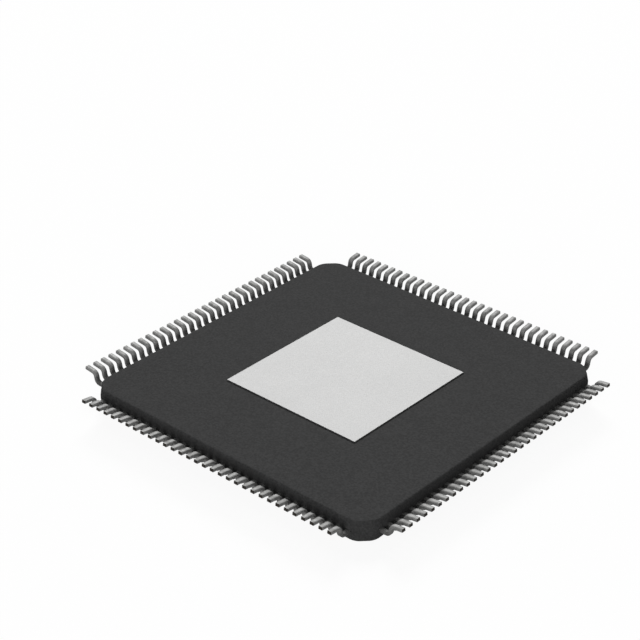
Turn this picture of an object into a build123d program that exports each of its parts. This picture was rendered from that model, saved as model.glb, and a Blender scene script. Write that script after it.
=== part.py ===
from build123d import *
import os
from math import cos, radians, sin, sqrt, tan

os.makedirs("parts", exist_ok=True)

# Thin quad flat package with an exposed pad, lying on its marking face with its leads and
# its pad upwards. The origin is the middle of the marking face, +Z leaves the mounting side,
# and the pins are counted from the +X side, clockwise when seen from above.

# Rows of leads
side_count = 4
leads_per_side = 32
leads_per_bank = 8
lead_pitch = 0.4
row_end_margin = 0.8  # from the last lead of a row to the corner of the body

# Bent leads, all from one strip
strip_thickness = 0.127
lead_width = 0.18
lead_reach = 1.0  # from the parting line out to the toe
foot_length = 0.55
foot_angle = 7.0  # the heel lies lower than the toe
leg_angle = 11.0  # away from upright
inside_bend_radius = 0.10
stand_off = 0.10  # from the mounting face up to the toe

# Moulded body
marking_half_depth = 0.51  # from the marking face to the strip
mounting_half_depth = 0.363  # from the strip to the mounting face
draft_angle = 12.0
corner_chamfer = 0.6
corner_round_margin = 0.15
marking_edge_round = 0.35
mounting_edge_chamfer = 0.06

# Mark beside the first pin, in the marking face
dimple_diameter = 1.0
dimple_depth = 0.05
dimple_inset = 1.15  # from the parting line

# Exposed pad and the tie bars that held it in the strip
pad_width = 6.5
pad_proud = 0.05
pad_corner_cover = 0.02
tie_bar_width = 0.25
tie_bar_gap = 0.095  # to the nearest finger
tie_bar_end_cover = 0.10

# Fingers of the leads inside the body
finger_tip_gap = 1.35  # from the edge of the pad
finger_tip_width = 0.16

# Die, its bond and the bond wires
die_width = 5.0
die_thickness = 0.28
attach_thickness = 0.03
attach_margin = 0.10
wire_width = 0.025
wire_rise = 0.12
wire_start_inset = 0.10  # from the edge of the die
wire_row_inset = 0.17  # from the last wire of a row to the row round the corner
stitch_inset = 0.35  # from the tip of the finger

# Levels
strip_low = marking_half_depth
strip_high = strip_low + strip_thickness
body_thickness = strip_high + mounting_half_depth
toe_level = body_thickness + stand_off
pad_high = body_thickness + pad_proud
pad_low = pad_high - strip_thickness
attach_low = pad_low - attach_thickness
die_low = attach_low - die_thickness
wire_apex = min(strip_low, die_low) - wire_rise

# Plan
row_half = (leads_per_side - 1) / 2 * lead_pitch
body_half = row_half + row_end_margin
finger_corner_gap = lead_width / 2 + sqrt(2) * (tie_bar_width / 2 + tie_bar_gap)
finger_tip = pad_width / 2 + finger_tip_gap
finger_fan = (finger_tip - finger_corner_gap) / row_half
wire_start = die_width / 2 - wire_start_inset
wire_start_fan = (wire_start - wire_row_inset) / row_half
wire_end = finger_tip + stitch_inset


def row_offsets(bank):
    """Where the leads of one bank stand along their row, in the order of their pins."""
    first = bank * leads_per_bank
    return [row_half - lead_pitch * place for place in range(first, first + leads_per_bank)]


def fan_offset(row_offset, distance):
    """How far along the row a finger's middle line is at some distance from the centre."""
    share = (body_half - distance) / (body_half - finger_tip)
    return row_offset + share * (finger_fan - 1) * row_offset


# Side view of a lead: x out of the body, y up. The under side of the strip follows its upper
# side, and each bend is one flat, tangent to the arc of the bend.
toe_turn = radians(foot_angle)
heel_turn = radians(90 - leg_angle - foot_angle)
shoulder_turn = radians(90 - leg_angle)
toe = (body_half + lead_reach - strip_thickness * sin(toe_turn), toe_level)
heel = (toe[0] - foot_length * cos(toe_turn), toe_level - foot_length * sin(toe_turn))
shoulder = (heel[0] - (heel[1] - strip_high) / tan(shoulder_turn), strip_high)
toe_under = (toe[0] + strip_thickness * sin(toe_turn), toe_level - strip_thickness * cos(toe_turn))
shoulder_under = (shoulder[0] + strip_thickness * tan(shoulder_turn / 2), strip_low)
heel_under_run = foot_length - strip_thickness * tan(heel_turn / 2)
heel_under = (toe_under[0] - heel_under_run * cos(toe_turn), toe_under[1] - heel_under_run * sin(toe_turn))
outside_bend_radius = inside_bend_radius + strip_thickness
bends = [
    (heel, heel_turn, outside_bend_radius),
    (heel_under, heel_turn, inside_bend_radius),
    (shoulder, shoulder_turn, inside_bend_radius),
    (shoulder_under, shoulder_turn, outside_bend_radius),
]

with BuildSketch() as gull_wing:
    with BuildLine():
        Polyline(
            toe,
            heel,
            shoulder,
            (body_half, strip_high),
            (body_half, strip_low),
            shoulder_under,
            heel_under,
            toe_under,
            close=True,
        )
    make_face()
    for corner, turn, radius in bends:
        bend_corner = gull_wing.vertices().sort_by_distance(corner)[0]
        chamfer(bend_corner, radius * (tan(turn / 2) - tan(turn / 4)))


def make_leads(bank):
    """The separate leads of one bank of the +X row, with the fingers that fan out inside."""
    with BuildPart() as leads:
        for row_offset in row_offsets(bank):
            with BuildSketch(Plane((0, row_offset, 0), x_dir=(1, 0, 0), z_dir=(0, -1, 0))):
                add(gull_wing.sketch_local)
            extrude(amount=lead_width / 2, both=True)
        with BuildSketch(Plane.XY.offset(strip_low)):
            for row_offset in row_offsets(bank):
                tip_offset = fan_offset(row_offset, finger_tip)
                with BuildLine():
                    Polyline(
                        (body_half, row_offset - lead_width / 2),
                        (body_half, row_offset + lead_width / 2),
                        (finger_tip, tip_offset + finger_tip_width / 2),
                        (finger_tip, tip_offset - finger_tip_width / 2),
                        close=True,
                    )
                make_face()
        extrude(amount=strip_thickness)
    return leads.part


def make_bond_wires(bank, leads):
    """The three-sided bond wires of one bank: up from the die, then a long fall to the finger."""
    with BuildPart() as wires:
        for row_offset in row_offsets(bank):
            start = Vector(wire_start, row_offset * wire_start_fan, die_low)
            apex = Vector(start.X, start.Y, wire_apex)
            stitch = Vector(wire_end, fan_offset(row_offset, wire_end), strip_low)
            fall = stitch - apex
            with BuildLine() as loop:
                Polyline(start, apex, stitch + fall * wire_width / fall.Z)
            with BuildSketch(Plane(start, x_dir=(fall.X, fall.Y), z_dir=(0, 0, -1))):
                RegularPolygon(wire_width / 2, side_count=3)
            sweep(path=loop.line, transition=Transition.RIGHT)
        add(leads, mode=Mode.SUBTRACT)
    return wires.part


def make_ring(kind, row):
    """Every bank of one kind, by name: the banks of the +X row, then the same turned."""
    ring = {}
    for side in range(side_count):
        for bank in row:
            first_pin = len(ring) * leads_per_bank + 1
            with BuildPart() as turned_bank:
                add(bank, rotation=(0, 0, -360 / side_count * side))
            ring[f"{kind}_{first_pin:03d}_to_{first_pin + leads_per_bank - 1:03d}"] = turned_bank.part
    return ring


lead_row = [make_leads(bank) for bank in range(leads_per_side // leads_per_bank)]
wire_row = [make_bond_wires(bank, leads) for bank, leads in enumerate(lead_row)]
lead_banks = make_ring("leads", lead_row)
wire_banks = make_ring("bond_wires", wire_row)

# Exposed pad. A tie bar leaves each corner and steps down to the level of the strip.
pad_corner = pad_width / sqrt(2)
bar_high = body_thickness - pad_corner_cover
step_foot = pad_corner + bar_high - strip_high
bar_bend = strip_thickness * tan(radians(45 / 2))
bar_end = (2 * body_half - corner_chamfer) / sqrt(2) - tie_bar_end_cover
bar_root = pad_corner - tie_bar_width / 2

with BuildPart() as exposed_pad:
    with BuildSketch(Plane.XY.offset(pad_low)):
        Rectangle(pad_width, pad_width)
    extrude(amount=strip_thickness)
    for corner in range(side_count):
        turn = radians(45 + 360 / side_count * corner)
        outward = Vector(cos(turn), sin(turn))
        with BuildSketch(Plane((0, 0, 0), x_dir=outward, z_dir=outward.cross(Vector(0, 0, 1)))):
            with BuildLine():
                Polyline(
                    (bar_root, pad_low),
                    (step_foot - bar_bend - (pad_low - strip_low), pad_low),
                    (step_foot - bar_bend, strip_low),
                    (bar_end, strip_low),
                    (bar_end, strip_high),
                    (step_foot, strip_high),
                    (pad_corner, bar_high),
                    (bar_root, bar_high),
                    close=True,
                )
            make_face()
        extrude(amount=tie_bar_width / 2, both=True)

with BuildPart() as die_attach:
    with BuildSketch(Plane.XY.offset(attach_low)):
        Rectangle(die_width + 2 * attach_margin, die_width + 2 * attach_margin)
    extrude(amount=attach_thickness)

with BuildPart() as silicon_die:
    with BuildSketch(Plane.XY.offset(die_low)):
        Rectangle(die_width, die_width)
    extrude(amount=die_thickness)

# Moulded body: two drafted halves that meet at the strip. The upright corners are round
# enough to take the round of the marking edge.
draft_inset = marking_half_depth * tan(radians(draft_angle))
corner_round = marking_edge_round + draft_inset + corner_round_margin

with BuildPart() as mould_body:
    with BuildSketch(Plane.XY.offset(strip_low)) as parting_outline:
        Rectangle(2 * body_half, 2 * body_half)
        chamfer(parting_outline.vertices(), corner_chamfer)
        fillet(parting_outline.vertices(), corner_round)
    extrude(amount=-marking_half_depth, taper=draft_angle)
    extrude(parting_outline.sketch, amount=strip_thickness)
    with BuildSketch(Plane.XY.offset(strip_high)):
        add(parting_outline.sketch_local)
    extrude(amount=mounting_half_depth, taper=draft_angle)
    fillet(mould_body.faces().sort_by(Axis.Z)[0].edges(), marking_edge_round)
    chamfer(mould_body.faces().sort_by(Axis.Z)[-1].edges(), mounting_edge_chamfer)
    with BuildSketch(Plane.XY):
        with Locations((body_half - dimple_inset, body_half - dimple_inset)):
            Circle(dimple_diameter / 2)
    extrude(amount=dimple_depth, mode=Mode.SUBTRACT)
    moulded_in = [exposed_pad.part, die_attach.part, silicon_die.part]
    add([*moulded_in, *lead_banks.values(), *wire_banks.values()], mode=Mode.SUBTRACT)

mould_body.part.label = "mould_body"
exposed_pad.part.label = "exposed_pad"
die_attach.part.label = "die_attach"
silicon_die.part.label = "silicon_die"
export_step(mould_body.part, "parts/mould_body.step")
export_step(exposed_pad.part, "parts/exposed_pad.step")
export_step(die_attach.part, "parts/die_attach.step")
export_step(silicon_die.part, "parts/silicon_die.step")
for name, bank in {**lead_banks, **wire_banks}.items():
    bank.label = name
    export_step(bank, f"parts/{name}.step")
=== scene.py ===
from math import cos, pi, radians, sin, tan

import bmesh
import bpy
from mathutils import Matrix, Vector


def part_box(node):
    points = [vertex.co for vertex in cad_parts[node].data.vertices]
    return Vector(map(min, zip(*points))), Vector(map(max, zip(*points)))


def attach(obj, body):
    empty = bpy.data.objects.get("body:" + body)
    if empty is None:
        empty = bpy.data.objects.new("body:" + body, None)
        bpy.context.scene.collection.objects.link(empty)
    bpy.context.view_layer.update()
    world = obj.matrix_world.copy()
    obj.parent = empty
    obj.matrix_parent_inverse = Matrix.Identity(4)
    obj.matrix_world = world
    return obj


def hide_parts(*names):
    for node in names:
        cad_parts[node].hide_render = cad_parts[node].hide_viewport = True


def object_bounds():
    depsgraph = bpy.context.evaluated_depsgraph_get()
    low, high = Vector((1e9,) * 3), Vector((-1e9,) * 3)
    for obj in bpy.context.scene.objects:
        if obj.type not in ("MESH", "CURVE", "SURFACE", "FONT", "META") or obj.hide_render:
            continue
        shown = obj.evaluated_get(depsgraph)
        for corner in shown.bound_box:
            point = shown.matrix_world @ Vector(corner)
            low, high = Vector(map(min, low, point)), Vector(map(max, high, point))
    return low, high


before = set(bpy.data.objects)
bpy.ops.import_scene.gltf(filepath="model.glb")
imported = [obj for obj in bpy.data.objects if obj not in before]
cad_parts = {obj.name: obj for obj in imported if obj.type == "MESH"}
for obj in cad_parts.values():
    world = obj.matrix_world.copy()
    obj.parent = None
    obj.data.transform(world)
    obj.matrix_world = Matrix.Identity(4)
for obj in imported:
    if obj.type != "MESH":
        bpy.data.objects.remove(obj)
cadBox = [list(corner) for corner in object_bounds()]
print("frame loaded:", len(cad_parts), "nodes")

mm = 0.001
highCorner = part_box("mould_body")[1]
bodyHalf = highCorner[0] / mm
bodyThick = highCorner[2] / mm
toeReach = cadBox[1][0] / mm
toeLevel = cadBox[1][2] / mm

# the copper strip that the leads come from, in millimetres above the marking face
stripShape = {
    "low": 0.51,
    "thick": 0.127,
}
stripHigh = stripShape["low"] + stripShape["thick"]
weldGap = 1e-5  # millimetres between points that are one and the same

noiseSpan = (0.3, 0.7)  # nearly all of a noise's values lie between these
white = (1, 1, 1)


def grey(level):
    return (level, level, level)


def newMaterial(name):
    material = bpy.data.materials.new(name)
    material.use_nodes = True
    nodes = material.node_tree.nodes
    links = material.node_tree.links
    return material, nodes, links, nodes["Principled BSDF"]


def objectNoise(nodes, links, scale, detail=2, roughness=0.5, stretch=(1, 1, 1)):
    # noise on Object coordinates, whose scale is in grains a metre
    place = nodes.new("ShaderNodeTexCoord")
    mapping = nodes.new("ShaderNodeMapping")
    mapping.inputs["Scale"].default_value = stretch
    noise = nodes.new("ShaderNodeTexNoise")
    noise.inputs["Scale"].default_value = scale
    noise.inputs["Detail"].default_value = detail
    noise.inputs["Roughness"].default_value = roughness
    links.new(place.outputs["Object"], mapping.inputs["Vector"])
    links.new(mapping.outputs["Vector"], noise.inputs["Vector"])
    return noise.outputs["Fac"]


def spread(nodes, links, source, low, high, span=noiseSpan):
    # a colour that runs from low to high as the source runs over the span
    ramp = nodes.new("ShaderNodeValToRGB")
    ramp.color_ramp.elements[0].position = span[0]
    ramp.color_ramp.elements[1].position = span[1]
    ramp.color_ramp.elements[0].color = (*low, 1)
    ramp.color_ramp.elements[1].color = (*high, 1)
    links.new(source, ramp.inputs["Fac"])
    return ramp.outputs["Color"]


def multiplyColours(nodes, links, first, second):
    mix = nodes.new("ShaderNodeMix")
    mix.data_type = "RGBA"
    mix.blend_type = "MULTIPLY"
    mix.inputs["Factor"].default_value = 1.0
    links.new(first, mix.inputs["A"])
    links.new(second, mix.inputs["B"])
    return mix.outputs["Result"]


def roughen(nodes, links, shader, source, low, high):
    scale = nodes.new("ShaderNodeMapRange")
    scale.inputs["From Min"].default_value = noiseSpan[0]
    scale.inputs["From Max"].default_value = noiseSpan[1]
    scale.inputs["To Min"].default_value = low
    scale.inputs["To Max"].default_value = high
    links.new(source, scale.inputs["Value"])
    links.new(scale.outputs["Result"], shader.inputs["Roughness"])


def emboss(nodes, links, shader, source, depth, strength):
    # a bump of some depth in metres
    bump = nodes.new("ShaderNodeBump")
    bump.inputs["Distance"].default_value = depth
    bump.inputs["Strength"].default_value = strength
    links.new(source, bump.inputs["Height"])
    links.new(bump.outputs["Normal"], shader.inputs["Normal"])


def dressShader(nodes, links, shader, look, colour, grain):
    links.new(colour, shader.inputs["Base Color"])
    roughen(nodes, links, shader, grain, *look["roughness"])
    emboss(nodes, links, shader, grain, look["bumpDepth"], look["bumpStrength"])
    shader.inputs["Metallic"].default_value = look["metal"]
    shader.inputs["Specular IOR Level"].default_value = look["sheen"]


compoundLook = {
    "dark": (0.052, 0.0521, 0.0523),
    "pale": (0.078, 0.0781, 0.0784),
    "grain": {"scale": 12500},
    "grainSpan": (0.34, 0.66),
    "mottle": {"scale": 900, "detail": 4, "roughness": 0.55},
    "mottleDark": 0.93,
    "roughness": (0.78, 0.95),
    "metal": 0.0,
    "sheen": 0.03,
    "bumpDepth": 0.000012,
    "bumpStrength": 0.6,
}


def makeCompound():
    # spark-eroded mould finish: fine even grain, with faint paler and darker areas
    look = compoundLook
    material, nodes, links, shader = newMaterial("mouldingCompound")
    grain = objectNoise(nodes, links, **look["grain"])
    mottle = objectNoise(nodes, links, **look["mottle"])
    grainColour = spread(nodes, links, grain, look["dark"], look["pale"], look["grainSpan"])
    mottleColour = spread(nodes, links, mottle, grey(look["mottleDark"]), white)
    colour = multiplyColours(nodes, links, grainColour, mottleColour)
    dressShader(nodes, links, shader, look, colour, grain)
    return material


leadLook = {
    "dark": (0.20, 0.20, 0.196),
    "pale": (0.31, 0.31, 0.305),
    "patch": {"scale": 3800, "detail": 3},
    "patchSpan": (0.35, 0.65),
    "grain": {"scale": 14000},
    "grainDark": 0.78,
    "shadeDarkest": 0.42,
    "shadeFullLevel": 0.60,  # millimetres above the marking face, as is the level where the painted shade ends
    "shadeFreeLevel": 0.98,
    "roughness": (0.50, 0.66),
    "metal": 0.42,
    "sheen": 0.06,
    "bumpDepth": 0.000004,
    "bumpStrength": 0.5,
}


def paintedShadeLow(nodes, links, low, high, shadeDarkest):
    # painted shade: a grey that darkens from the high level down to the low one, both in metres
    place = nodes.new("ShaderNodeTexCoord")
    split = nodes.new("ShaderNodeSeparateXYZ")
    scale = nodes.new("ShaderNodeMapRange")
    scale.inputs["From Min"].default_value = low
    scale.inputs["From Max"].default_value = high
    links.new(place.outputs["Object"], split.inputs["Vector"])
    links.new(split.outputs["Z"], scale.inputs["Value"])
    return spread(nodes, links, scale.outputs["Result"], grey(shadeDarkest), white, (0, 1))


def makeLeadPlating():
    # matt tin: crystals a few hundredths of a millimetre across, cloudy patches, and painted shade
    # low down near the body, where the body shadows the strip
    look = leadLook
    material, nodes, links, shader = newMaterial("leadPlating")
    grain = objectNoise(nodes, links, **look["grain"])
    patch = objectNoise(nodes, links, **look["patch"])
    base = spread(nodes, links, patch, look["dark"], look["pale"], look["patchSpan"])
    crystal = spread(nodes, links, grain, grey(look["grainDark"]), white)
    plated = multiplyColours(nodes, links, base, crystal)
    # painted shade: the plating darkens from the shade-free level down to the full-shade level
    paintedShade = paintedShadeLow(nodes, links, look["shadeFullLevel"] * mm, look["shadeFreeLevel"] * mm, look["shadeDarkest"])
    colour = multiplyColours(nodes, links, plated, paintedShade)
    dressShader(nodes, links, shader, look, colour, grain)
    return material


toeLook = {
    # near-black: painted shade on the toe ends, which face away from the key lamp
    "dark": (0.014, 0.012, 0.010),
    "pale": (0.040, 0.034, 0.028),
    "streak": {"scale": 30000, "stretch": (1, 1, 0.2)},
    "roughness": (0.5, 0.65),
    "metal": 0.0,
    "sheen": 0.1,
    "bumpDepth": 0.000004,
    "bumpStrength": 0.5,
}


def makeCutToe():
    # the toes are sheared after plating, so their ends are bare copper alloy; their near-black tone
    # is painted shade
    look = toeLook
    material, nodes, links, shader = newMaterial("cutCopperAndShade")
    streak = objectNoise(nodes, links, **look["streak"])
    colour = spread(nodes, links, streak, look["dark"], look["pale"])
    dressShader(nodes, links, shader, look, colour, streak)
    return material


padLook = {
    "dark": (0.645, 0.645, 0.641),
    "pale": (0.675, 0.675, 0.671),
    "cloud": {"scale": 520, "detail": 5, "roughness": 0.6},
    "grain": {"scale": 9000, "detail": 3, "roughness": 0.6},
    "grainDark": 0.78,
    "roughness": (0.48, 0.62),
    "metal": 0.08,
    "sheen": 0.1,
    "bumpDepth": 0.000003,
    "bumpStrength": 0.5,
}


def makePadPlating():
    # the same tin on a wide flat face: paler, with broad soft clouds
    look = padLook
    material, nodes, links, shader = newMaterial("padPlating")
    grain = objectNoise(nodes, links, **look["grain"])
    cloud = objectNoise(nodes, links, **look["cloud"])
    base = spread(nodes, links, cloud, look["dark"], look["pale"])
    crystal = spread(nodes, links, grain, grey(look["grainDark"]), white)
    colour = multiplyColours(nodes, links, base, crystal)
    dressShader(nodes, links, shader, look, colour, grain)
    return material


insideLooks = {
    "silicon": {
        "dark": (0.07, 0.08, 0.10),
        "pale": (0.12, 0.13, 0.16),
        "grain": {"scale": 2500, "detail": 3},
        "roughness": (0.08, 0.2),
        "metal": 0.5,
    },
    "attachEpoxy": {
        "dark": (0.34, 0.34, 0.33),
        "pale": (0.5, 0.5, 0.48),
        "grain": {"scale": 12000, "detail": 3},
        "roughness": (0.5, 0.7),
        "metal": 0.3,
    },
    "goldWire": {
        "dark": (0.80, 0.56, 0.20),
        "pale": (0.92, 0.70, 0.32),
        "grain": {"scale": 20000, "detail": 3},
        "roughness": (0.2, 0.32),
        "metal": 1.0,
    },
}


def makeInside(name):
    # for the pieces that the moulding hides
    look = insideLooks[name]
    material, nodes, links, shader = newMaterial(name)
    grain = objectNoise(nodes, links, **look["grain"])
    links.new(spread(nodes, links, grain, look["dark"], look["pale"]), shader.inputs["Base Color"])
    roughen(nodes, links, shader, grain, *look["roughness"])
    shader.inputs["Metallic"].default_value = look["metal"]
    return material


compound = makeCompound()
leadPlating = makeLeadPlating()
cutCopperAndShade = makeCutToe()
padPlating = makePadPlating()
print("materials made")

shadeRule = {
    "sharpAngle": 50,  # degrees
    "flatWeight": 100,
}


def finishPiece(bm, name, materials):
    # the bmesh is in millimetres until here
    for face in bm.faces:
        face.smooth = True
    bmesh.ops.scale(bm, vec=(mm, mm, mm), verts=bm.verts)
    mesh = bpy.data.meshes.new(name)
    bm.to_mesh(mesh)
    bm.free()
    for material in materials:
        mesh.materials.append(material)
    mesh.set_sharp_from_angle(angle=radians(shadeRule["sharpAngle"]))
    piece = bpy.data.objects.new(name, mesh)
    bpy.context.collection.objects.link(piece)

    # flat faces stay flat in the shading, and their rounded edges carry the change
    flatten = piece.modifiers.new("evenShading", "WEIGHTED_NORMAL")
    flatten.weight = shadeRule["flatWeight"]
    flatten.keep_sharp = True
    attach(piece, "root")
    return piece


def partsOf(result, kind, key="geom"):
    return [item for item in result[key] if isinstance(item, kind)]


def endFaceOf(bm, pick):
    # the lowest face with min, the highest with max
    return pick(bm.faces, key=lambda face: face.calc_center_median().z)


def bevelRound(bm, geom, offset, segments, affect="EDGES", clamp=False):
    # each new face takes the material of the faces beside it
    return bmesh.ops.bevel(bm, geom=geom, offset=offset, offset_type="OFFSET", affect=affect,
                           segments=segments, profile=0.5, material=-1, clamp_overlap=clamp)


# in this and the other shapes, lengths are in millimetres and angles in degrees
bodyShape = {
    "draft": 12.0,
    "cornerChamfer": 0.6,
    "cornerRound": 0.61,
    "cornerSteps": 8,
    "mountingEdge": 0.08,
    "mountingSteps": 4,
    "markingEdge": 0.35,
    "markingSteps": 10,
    "dimplePlace": 5.85,
    "dimpleRadius": 0.5,
    "dimpleDepth": 0.05,
    "dimpleSides": 40,
}


def roundRim(bm, level, radius, segments):
    # the wall leans by the draft, so the tangent is a little shorter than the radius
    setback = radius * tan(radians(90 - bodyShape["draft"]) / 2)
    rim = [edge for edge in bm.edges
           if all(abs(vert.co.z - level) < weldGap for vert in edge.verts)]
    bevelRound(bm, rim, setback, segments, clamp=True)


def makeMouldBody():
    shape = bodyShape
    draftSlope = tan(radians(shape["draft"]))
    bm = bmesh.new()
    bmesh.ops.create_grid(bm, x_segments=1, y_segments=1, size=bodyHalf)
    bevelRound(bm, bm.verts[:], shape["cornerChamfer"], 1, affect="VERTICES")
    setback = shape["cornerRound"] * tan(radians(45) / 2)  # the outline turns 45 degrees there
    bevelRound(bm, bm.verts[:], setback, shape["cornerSteps"], affect="VERTICES")
    bmesh.ops.translate(bm, vec=(0, 0, stripShape["low"]), verts=bm.verts)
    raised = bmesh.ops.extrude_face_region(bm, geom=bm.faces[:])
    raisedVerts = partsOf(raised, bmesh.types.BMVert)
    bmesh.ops.translate(bm, vec=(0, 0, stripShape["thick"]), verts=raisedVerts)
    bmesh.ops.recalc_face_normals(bm, faces=bm.faces)

    # two drafted halves, up to the mounting face and down to the marking face
    ends = [endFaceOf(bm, max), endFaceOf(bm, min)]
    for end, depth in zip(ends, [bodyThick - stripHigh, stripShape["low"]]):
        bmesh.ops.inset_region(bm, faces=[end], thickness=depth * draftSlope, depth=depth,
                               use_even_offset=True)
    roundRim(bm, bodyThick, shape["mountingEdge"], shape["mountingSteps"])
    roundRim(bm, 0, shape["markingEdge"], shape["markingSteps"])

    # pin-one mark: a shallow round dish in the marking face
    markingFace = endFaceOf(bm, min)
    rim = list(markingFace.edges)
    bmesh.ops.delete(bm, geom=[markingFace], context="FACES_ONLY")
    place = Matrix.Translation((shape["dimplePlace"], shape["dimplePlace"], 0))
    mark = bmesh.ops.create_circle(bm, segments=shape["dimpleSides"], radius=shape["dimpleRadius"],
                                   matrix=place)
    markEdges = list({edge for vert in mark["verts"] for edge in vert.link_edges})
    bmesh.ops.triangle_fill(bm, edges=rim + markEdges, use_beauty=True, use_dissolve=False)
    dish = bmesh.ops.extrude_edge_only(bm, edges=markEdges)
    bmesh.ops.translate(bm, vec=(0, 0, shape["dimpleDepth"]), verts=partsOf(dish, bmesh.types.BMVert))
    bmesh.ops.contextual_create(bm, geom=partsOf(dish, bmesh.types.BMEdge))
    bmesh.ops.remove_doubles(bm, verts=bm.verts, dist=weldGap)
    bmesh.ops.recalc_face_normals(bm, faces=bm.faces)
    return finishPiece(bm, "mouldBody", [compound])


mouldBody = makeMouldBody()
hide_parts("mould_body")
print("mould body made:", len(mouldBody.data.polygons), "faces")

leadShape = {
    "pitch": 0.4,
    "perSide": 32,
    "perBank": 8,
    "width": 0.18,
    "footLength": 0.55,
    "footAngle": 7.0,
    "legAngle": 11.0,
    "insideBend": 0.10,
    "bendSteps": 3,
    "edgeRound": 0.007,
    "edgeAngle": 60.0,
    "edgeCover": 0.01,
    "fingerTip": 4.6,
    "fingerTipWidth": 0.16,
    "fingerFan": 0.67724,
}


def pushEnd(bm, endFace, move):
    # extrudes the end of the strip and returns its new end
    result = bmesh.ops.extrude_face_region(bm, geom=[endFace, *endFace.edges, *endFace.verts])
    bmesh.ops.translate(bm, vec=move, verts=partsOf(result, bmesh.types.BMVert))
    return partsOf(result, bmesh.types.BMFace)[0]


def bendEnd(bm, endFace, centre, turn):
    # spins the end of the strip about a bend's centre, in the plane of the side view
    result = bmesh.ops.spin(bm, geom=[endFace, *endFace.edges, *endFace.verts], cent=centre,
                            axis=(0, 1, 0), angle=turn, steps=leadShape["bendSteps"],
                            use_merge=False, use_duplicate=False)
    return partsOf(result, bmesh.types.BMFace, "geom_last")[0]


def makeLead(bm, rowOffset):
    # one bent strip, from its toe in to the tip of its finger; returns the toe's end face
    shape = leadShape
    thick = stripShape["thick"]
    radius = shape["insideBend"]
    foot = radians(shape["footAngle"])
    leg = radians(shape["legAngle"])
    heelTurn = pi / 2 - leg - foot
    shoulderTurn = pi / 2 - leg
    inward = Vector((-cos(foot), 0, -sin(foot)))
    down = Vector((-sin(leg), 0, -cos(leg)))
    footUnder = Vector((sin(foot), 0, -cos(foot)))
    toe = Vector((toeReach - thick * sin(foot), rowOffset, toeLevel))
    half = Vector((0, shape["width"] / 2, 0))
    under = footUnder * thick
    corners = [toe - half, toe + half, toe + half + under, toe - half + under]
    toeFace = bm.faces.new([bm.verts.new(corner) for corner in corners])
    straight = shape["footLength"] - (radius + thick) * tan(heelTurn / 2)
    end = pushEnd(bm, toeFace, inward * straight)
    heelCentre = toe + inward * straight + footUnder * (radius + thick)
    end = bendEnd(bm, end, heelCentre, -heelTurn)

    # the leg runs from the heel's bend to the shoulder's, which ends level with the strip
    outward = Vector((cos(leg), 0, -sin(leg)))
    legStart = heelCentre - outward * (radius + thick)
    drop = legStart.z - stripHigh - radius * (1 - sin(leg))
    end = pushEnd(bm, end, down * (drop / cos(leg)))
    legEnd = legStart + down * (drop / cos(leg))
    shoulderCentre = legEnd - outward * radius
    end = bendEnd(bm, end, shoulderCentre, shoulderTurn)

    # into the body, then fanned in towards the middle
    end = pushEnd(bm, end, Vector((bodyHalf - shoulderCentre.x, 0, 0)))
    fan = rowOffset * (shape["fingerFan"] - 1)
    end = pushEnd(bm, end, Vector((shape["fingerTip"] - bodyHalf, fan, 0)))
    bmesh.ops.scale(bm, vec=(1, shape["fingerTipWidth"] / shape["width"], 1), verts=end.verts,
                    space=Matrix.Translation(-end.calc_center_median()))
    return toeFace


def makeLeadBank(side, bank):
    # eight leads of the +X row, turned to their own side; their sheared toes keep crisp edges
    shape = leadShape
    firstPlace = bank * shape["perBank"]
    platedSlot, toeSlot = 0, 1
    bm = bmesh.new()
    for place in range(firstPlace, firstPlace + shape["perBank"]):
        toeFace = makeLead(bm, shape["pitch"] * ((shape["perSide"] - 1) / 2 - place))
        toeFace.material_index = toeSlot
    bmesh.ops.remove_doubles(bm, verts=bm.verts, dist=weldGap)
    bmesh.ops.recalc_face_normals(bm, faces=bm.faces)
    bm.normal_update()
    ridges = []
    for edge in bm.edges:
        outside = min(vert.co.x for vert in edge.verts) > bodyHalf - shape["edgeCover"]
        sheared = any(face.material_index == toeSlot for face in edge.link_faces)
        if outside and not sheared and edge.calc_face_angle(0) > radians(shape["edgeAngle"]):
            ridges.append(edge)
    rounded = bevelRound(bm, ridges, shape["edgeRound"], 1, clamp=True)
    for face in rounded["faces"]:
        face.material_index = platedSlot
    turn = Matrix.Rotation(-pi / 2 * side, 3, "Z")
    bmesh.ops.rotate(bm, cent=(0, 0, 0), matrix=turn, verts=bm.verts)
    firstPin = side * shape["perSide"] + firstPlace + 1
    pins = f"{firstPin:03d}_to_{firstPin + shape['perBank'] - 1:03d}"
    piece = finishPiece(bm, f"leadBank_{pins}", [leadPlating, cutCopperAndShade])
    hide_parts(f"leads_{pins}")
    return piece


banksPerSide = leadShape["perSide"] // leadShape["perBank"]
leadBanks = [makeLeadBank(side, bank) for side in range(4) for bank in range(banksPerSide)]
print("leads made:", sum(len(piece.data.polygons) for piece in leadBanks), "faces")

padShape = {
    "edgeRound": 0.006,
    "edgeSteps": 2,
    "weldGap": 1e-4,
    "flatAngle": 1.0,
}


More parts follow.
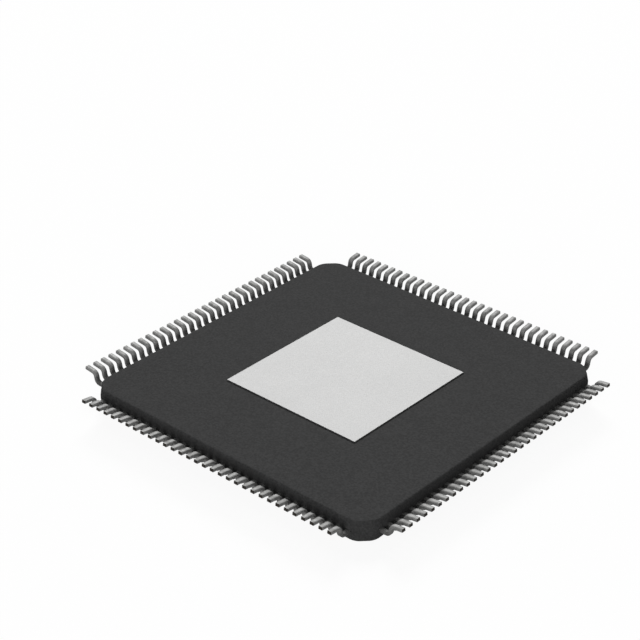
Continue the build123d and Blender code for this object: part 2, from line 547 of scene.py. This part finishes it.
def makePad():
    # the pad's own form, merged, with a slightly rounded edge; its sides and rounded edge take the
    # black compound as painted shade
    shape = padShape
    paintedShadeSlot = 1
    bm = bmesh.new()
    bm.from_mesh(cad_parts["exposed_pad"].data)
    bmesh.ops.scale(bm, vec=(1 / mm, 1 / mm, 1 / mm), verts=bm.verts)
    bmesh.ops.remove_doubles(bm, verts=bm.verts, dist=shape["weldGap"])
    bmesh.ops.dissolve_limit(bm, angle_limit=radians(shape["flatAngle"]), verts=bm.verts,
                             edges=bm.edges)
    bmesh.ops.recalc_face_normals(bm, faces=bm.faces)
    padFace = endFaceOf(bm, max)
    # painted shade: the pad's side walls and rounded rim are dressed in the black compound
    for edge in padFace.edges:
        for face in edge.link_faces:
            if face is not padFace:
                face.material_index = paintedShadeSlot
    rounded = bevelRound(bm, list(padFace.edges), shape["edgeRound"], shape["edgeSteps"])
    for face in rounded["faces"]:
        face.material_index = paintedShadeSlot
    return finishPiece(bm, "exposedPad", [padPlating, compound])


pad = makePad()
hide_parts("exposed_pad")

# the CAD's own solids stay for the pieces inside
for name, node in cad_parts.items():
    if name.startswith("bond_wires"):
        inside = "goldWire"
    elif name == "silicon_die":
        inside = "silicon"
    elif name == "die_attach":
        inside = "attachEpoxy"
    else:
        continue
    material = bpy.data.materials.get(inside) or makeInside(inside)
    node.data.materials.clear()
    node.data.materials.append(material)
print("pad and inner pieces dressed")

stageLook = {
    "floorSize": 2.0,
    "floorGrey": 0.09,
    "floorLift": 0.93,
    "worldGrey": 0.035,
}


def whiteForViewer(nodes, links):
    # 1 for rays from the camera, and for those that a glossy or clear surface sends on
    path = nodes.new("ShaderNodeLightPath")
    first = nodes.new("ShaderNodeMath")
    first.operation = "MAXIMUM"
    second = nodes.new("ShaderNodeMath")
    second.operation = "MAXIMUM"
    links.new(path.outputs["Is Camera Ray"], first.inputs[0])
    links.new(path.outputs["Is Glossy Ray"], first.inputs[1])
    links.new(first.outputs[0], second.inputs[0])
    links.new(path.outputs["Is Transmission Ray"], second.inputs[1])
    return second.outputs[0]


def makeFloor():
    # a plain floor that takes the shadow and looks white to the viewer
    bm = bmesh.new()
    bmesh.ops.create_grid(bm, x_segments=1, y_segments=1, size=stageLook["floorSize"] / 2)
    mesh = bpy.data.meshes.new("floor")
    bm.to_mesh(mesh)
    bm.free()
    floor = bpy.data.objects.new("floor", mesh)
    bpy.context.collection.objects.link(floor)
    material = bpy.data.materials.new("paleFloor")
    material.use_nodes = True
    nodes, links = material.node_tree.nodes, material.node_tree.links
    nodes.clear()
    diffuse = nodes.new("ShaderNodeBsdfDiffuse")
    diffuse.inputs["Color"].default_value = (*grey(stageLook["floorGrey"]), 1)
    lift = nodes.new("ShaderNodeEmission")
    strength = nodes.new("ShaderNodeMath")
    strength.operation = "MULTIPLY"
    strength.inputs[1].default_value = stageLook["floorLift"]
    links.new(whiteForViewer(nodes, links), strength.inputs[0])
    links.new(strength.outputs[0], lift.inputs["Strength"])
    both = nodes.new("ShaderNodeAddShader")
    links.new(diffuse.outputs[0], both.inputs[0])
    links.new(lift.outputs[0], both.inputs[1])
    output = nodes.new("ShaderNodeOutputMaterial")
    links.new(both.outputs[0], output.inputs["Surface"])
    mesh.materials.append(material)


def makeWorld():
    world = bpy.data.worlds.new("studio")
    world.use_nodes = True
    bpy.context.scene.world = world
    nodes, links = world.node_tree.nodes, world.node_tree.links
    background = nodes["Background"]
    strength = nodes.new("ShaderNodeMapRange")
    strength.inputs["To Min"].default_value = stageLook["worldGrey"]
    strength.inputs["To Max"].default_value = 1.0
    links.new(whiteForViewer(nodes, links), strength.inputs["Value"])
    background.inputs["Color"].default_value = (*white, 1)
    links.new(strength.outputs["Result"], background.inputs["Strength"])


def makeLamp(name, place, size, power):
    # a soft square lamp that faces the middle of the object
    data = bpy.data.lights.new(name, "AREA")
    data.shape = "SQUARE"
    data.size = size
    data.energy = power
    lamp = bpy.data.objects.new(name, data)
    lamp.location = place
    lamp.rotation_euler = (-Vector(place)).to_track_quat("-Z", "Y").to_euler()
    bpy.context.collection.objects.link(lamp)


lampRig = {  # places and sizes in metres
    "backKey": {"place": (-0.66, 0.75, 0.75), "size": 0.54, "power": 14.0},
    "frontFill": {"place": (0.40, -0.60, 0.16), "size": 0.40, "power": 2.5},
    "leftFill": {"place": (-0.30, -0.66, 0.14), "size": 0.40, "power": 1.15},
    "rightFill": {"place": (0.66, -0.15, 0.26), "size": 0.40, "power": 0.35},
}

cameraRig = {
    "turn": 41.68,
    "height": 29.94,
    "place": (38.527, -44.769, 37.558),  # millimetres
    "lens": 100.73,
    "sensor": 36,
    "nearest": 0.001,
    "furthest": 10,
}


def makeCamera():
    data = bpy.data.cameras.new("camera")
    data.lens = cameraRig["lens"]
    data.sensor_width = cameraRig["sensor"]
    data.clip_start = cameraRig["nearest"]
    data.clip_end = cameraRig["furthest"]
    camera = bpy.data.objects.new("camera", data)
    camera.location = Vector(cameraRig["place"]) * mm
    camera.rotation_euler = (radians(90 - cameraRig["height"]), 0, radians(cameraRig["turn"]))
    bpy.context.collection.objects.link(camera)
    bpy.context.scene.camera = camera


makeFloor()
makeWorld()
for lampName, lamp in lampRig.items():
    makeLamp(lampName, lamp["place"], lamp["size"], lamp["power"])
makeCamera()
bpy.context.scene.view_settings.view_transform = "Standard"
print("stage set")
